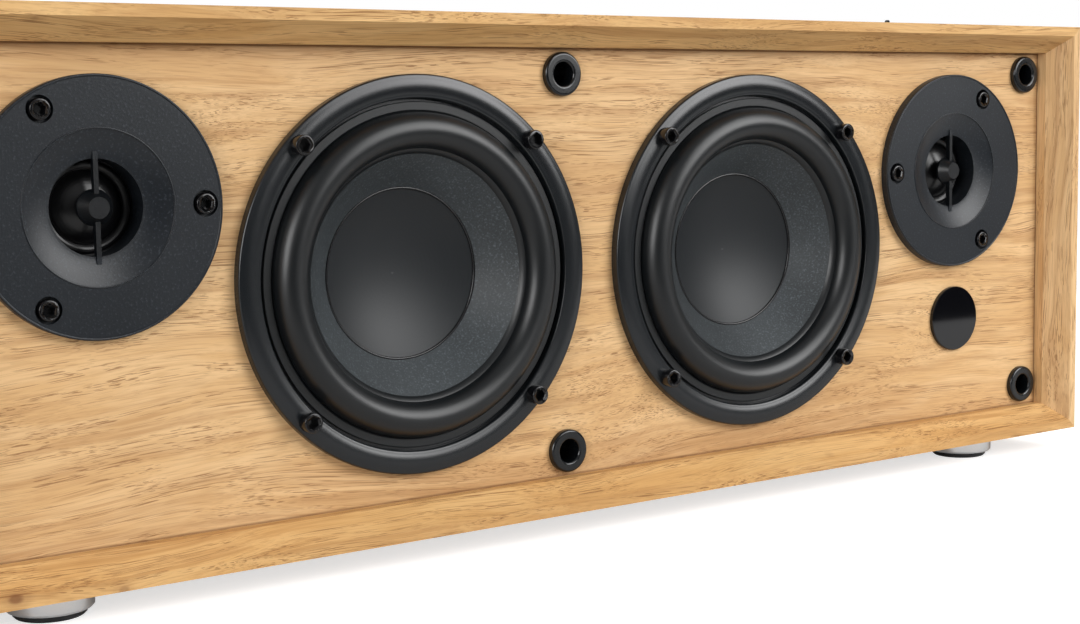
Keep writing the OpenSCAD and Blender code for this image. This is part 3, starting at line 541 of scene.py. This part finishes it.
def screwHead(s, x, z):
    bpy.ops.object.select_all(action="DESELECT")
    bpy.ops.mesh.primitive_cylinder_add(
        vertices=screws["segments"], radius=s["head"] * mm, depth=s["tall"] * mm,
        location=(x, baffleY - (s["seat"] + s["tall"] / 2) * mm, z), rotation=(math.pi / 2, 0, 0))
    head = bpy.context.object
    bpy.ops.object.transform_apply(location=True, rotation=True, scale=True)
    bpy.ops.object.mode_set(mode="EDIT")
    bpy.ops.mesh.select_all(action="DESELECT")
    bpy.ops.object.mode_set(mode="OBJECT")
    for polygon in head.data.polygons:
        polygon.select = polygon.normal.y > screws["facing"]
    bpy.ops.object.mode_set(mode="EDIT")
    bpy.ops.mesh.inset(thickness=(s["head"] - s["shank"]) * mm)
    bpy.ops.mesh.extrude_region_move(TRANSFORM_OT_translate={"value": (0, screws["buried"] * mm, 0)})
    bpy.ops.object.mode_set(mode="OBJECT")
    bevel = head.modifiers.new("rim", "BEVEL")
    bevel.width = screws["rim"] * mm
    bevel.segments = screws["rimSteps"]
    bevel.angle_limit = math.radians(screws["rimAngle"])
    bpy.ops.object.modifier_apply(modifier="rim")
    return head


# The hexagon that the boolean takes out of a head; its front end flares into the chamfer
def hexagonKey(s, x, z, turn):
    front = baffleY - (s["seat"] + s["tall"] - screws["chamfer"]) * mm
    bpy.ops.mesh.primitive_cylinder_add(
        vertices=6, radius=s["hexagon"] * mm, depth=s["deep"] * mm,
        location=(x, front + s["deep"] / 2 * mm, z),
        rotation=(math.pi / 2, math.radians(turn + screws["twist"]), 0))
    key = bpy.context.object
    bpy.ops.object.transform_apply(location=True, rotation=True, scale=True)
    for polygon in key.data.polygons:
        polygon.select = polygon.normal.y < -screws["facing"]
    bpy.ops.object.mode_set(mode="EDIT")
    bpy.ops.mesh.select_mode(type="FACE")
    bpy.ops.mesh.extrude_region_move(
        TRANSFORM_OT_translate={"value": (0, -2 * screws["chamfer"] * mm, 0)})
    bpy.ops.transform.resize(value=(screws["flare"], 1, screws["flare"]),
                             center_override=(x, front, z))
    bpy.ops.object.mode_set(mode="OBJECT")
    return key


def cutSocket(head, key):
    cut = head.modifiers.new("socket", "BOOLEAN")
    cut.object = key
    cut.operation = "DIFFERENCE"
    cut.solver = "EXACT"
    bpy.context.view_layer.objects.active = head
    bpy.ops.object.modifier_apply(modifier="socket")
    bpy.data.objects.remove(key)


def makeScrews(kind, side):
    s = screws[kind]
    centre = middleOf(f"{kind}_{side}_{s['on']}")
    heads = []
    for turn in s["turns"][side]:
        away = math.radians(turn)
        x = centre.x + s["ring"] * mm * math.cos(away)
        z = centre.z + s["ring"] * mm * math.sin(away)
        head = screwHead(s, x, z)
        cutSocket(head, hexagonKey(s, x, z, turn))
        heads.append(head)
    bpy.ops.object.select_all(action="DESELECT")
    for head in heads:
        head.select_set(True)
    bpy.context.view_layer.objects.active = heads[0]
    bpy.ops.object.join()
    piece = heads[0]
    piece.name = f"{kind}_{side}_socket_screws"
    bpy.ops.object.transform_apply(location=True, rotation=True, scale=True)
    bpy.ops.object.shade_smooth_by_angle(angle=math.radians(screws["smooth"]))
    piece.data.materials.clear()
    piece.data.materials.append(finishes["screw"])
    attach(piece, "cabinet")
    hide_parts(f"{kind}_{side}_screws")


for kind in ("woofer", "tweeter"):
    for side in ("left", "right"):
        makeScrews(kind, side)
print("screws made")


# Camera as the photograph's: place in mm, direction and focal length
camera = {
    "place": (-427.8, -666.8, 164.0), "right": (0.81808, -0.57485, -0.01728),
    "up": (0.07523, 0.07718, 0.99418), "forward": (0.57017, 0.81461, -0.10638), "lens": 59.11,
    "sensor": 36, "reach": 100,
}
lens = bpy.data.cameras.new("camera")
lens.lens = camera["lens"]
lens.sensor_width = camera["sensor"]
lens.clip_end = camera["reach"]
viewer = bpy.data.objects.new("camera", lens)
bpy.context.scene.collection.objects.link(viewer)
axes = [Vector(camera["right"]), Vector(camera["up"]), -Vector(camera["forward"])]
turning = Matrix(axes).transposed().to_4x4()
viewer.matrix_world = Matrix.Translation(Vector(camera["place"]) * mm) @ turning
bpy.context.scene.camera = viewer

# Soft boxes: a key above and right of the front, a small card below it, a fill, one behind
lamps = {
    "card": {"place": (1.05, -1.30, 0.60), "size": 0.70, "power": 5.5},
    "key": {"place": (0.85, -1.45, 0.95), "size": 1.3, "power": 25},
    "fill": {"place": (-2.10, -1.20, 0.72), "size": 1.1, "power": 29},
    "behind": {"place": (0.3, 2.00, 0.70), "size": 1.4, "power": 13},
}
lampTarget = Vector((0, 0, 0.1))
for name, lamp in lamps.items():
    light = bpy.data.lights.new(name, "AREA")
    light.shape = "SQUARE"
    light.size = lamp["size"]
    light.energy = lamp["power"]
    holder = bpy.data.objects.new(name, light)
    holder.location = lamp["place"]
    aim = lampTarget - holder.location
    holder.rotation_euler = aim.to_track_quat("-Z", "Y").to_euler()
    bpy.context.scene.collection.objects.link(holder)
print("camera and lamps placed")

# White studio behind, bright ceiling, and a darker room in front of the loudspeaker.
# Rise and turn are the parts of a direction, up and backwards, over which the room brightens.
studio = {"front": 0.03, "ceiling": 0.31, "back": 0.45, "eye": 1.0,
          "rise": (-0.06, 0.55), "turn": (-0.15, 0.6)}
world = bpy.data.worlds.new("surroundings")
bpy.context.scene.world = world
world.use_nodes = True


# The world's nodes are made through the same methods as a material's
class Studio(Finish):
    def __init__(self, tree):
        self.tree = tree


room = Studio(world.node_tree)
direction = room.node("ShaderNodeTexCoord", output="Generated")
height = room.node("ShaderNodeSeparateXYZ", None, {0: direction}, output="Z")
upward = height.step(*studio["rise"])
backward = height.beside("Y").step(*studio["turn"])
glow = studio["front"] + studio["ceiling"] * upward + studio["back"] * backward
eye = room.node("ShaderNodeLightPath", output="Is Camera Ray")
mirror = eye.beside("Is Glossy Ray") * backward
seen = eye.maths("MAXIMUM", eye.beside("Is Transmission Ray")).maths("MAXIMUM", mirror)
level = glow + seen * (studio["eye"] - glow)
backdrop = world.node_tree.nodes["Background"]
backdrop.inputs["Color"].default_value = (1, 1, 1, 1)
world.node_tree.links.new(level.socket, backdrop.inputs["Strength"])

# Pale table top: its own colour with the object's shadow, lifted to white for the eye
table = {"front": -0.496, "back": 4.0, "half": 4.0, "colour": 0.62, "roughness": 0.9,
         "specular": 0.1, "lift": 0.66, "mirrored": 0.14}
bpy.ops.object.select_all(action="DESELECT")
bpy.ops.mesh.primitive_plane_add(size=1, location=(0, 0, 0))
floor = bpy.context.object
floor.name = "floor"
floor.scale = (2 * table["half"], table["back"] - table["front"], 1)
floor.location = (0, (table["back"] + table["front"]) / 2, 0)
bpy.ops.object.transform_apply(location=True, rotation=True, scale=True)
paint = Finish("floorPaint", Roughness=table["roughness"], Specular_IOR_Level=table["specular"],
               Base_Color=(table["colour"],) * 3 + (1,), Emission_Strength=1.0)
watched = paint.node("ShaderNodeLightPath", output="Is Camera Ray")
lift = (watched + watched.beside("Is Glossy Ray") * table["mirrored"]) * table["lift"]
paint.feed(Emission_Color=lift)
floor.data.materials.append(paint.material)
print("surroundings and table made")

bpy.context.scene.view_settings.view_transform = "Standard"
print("scene ready")
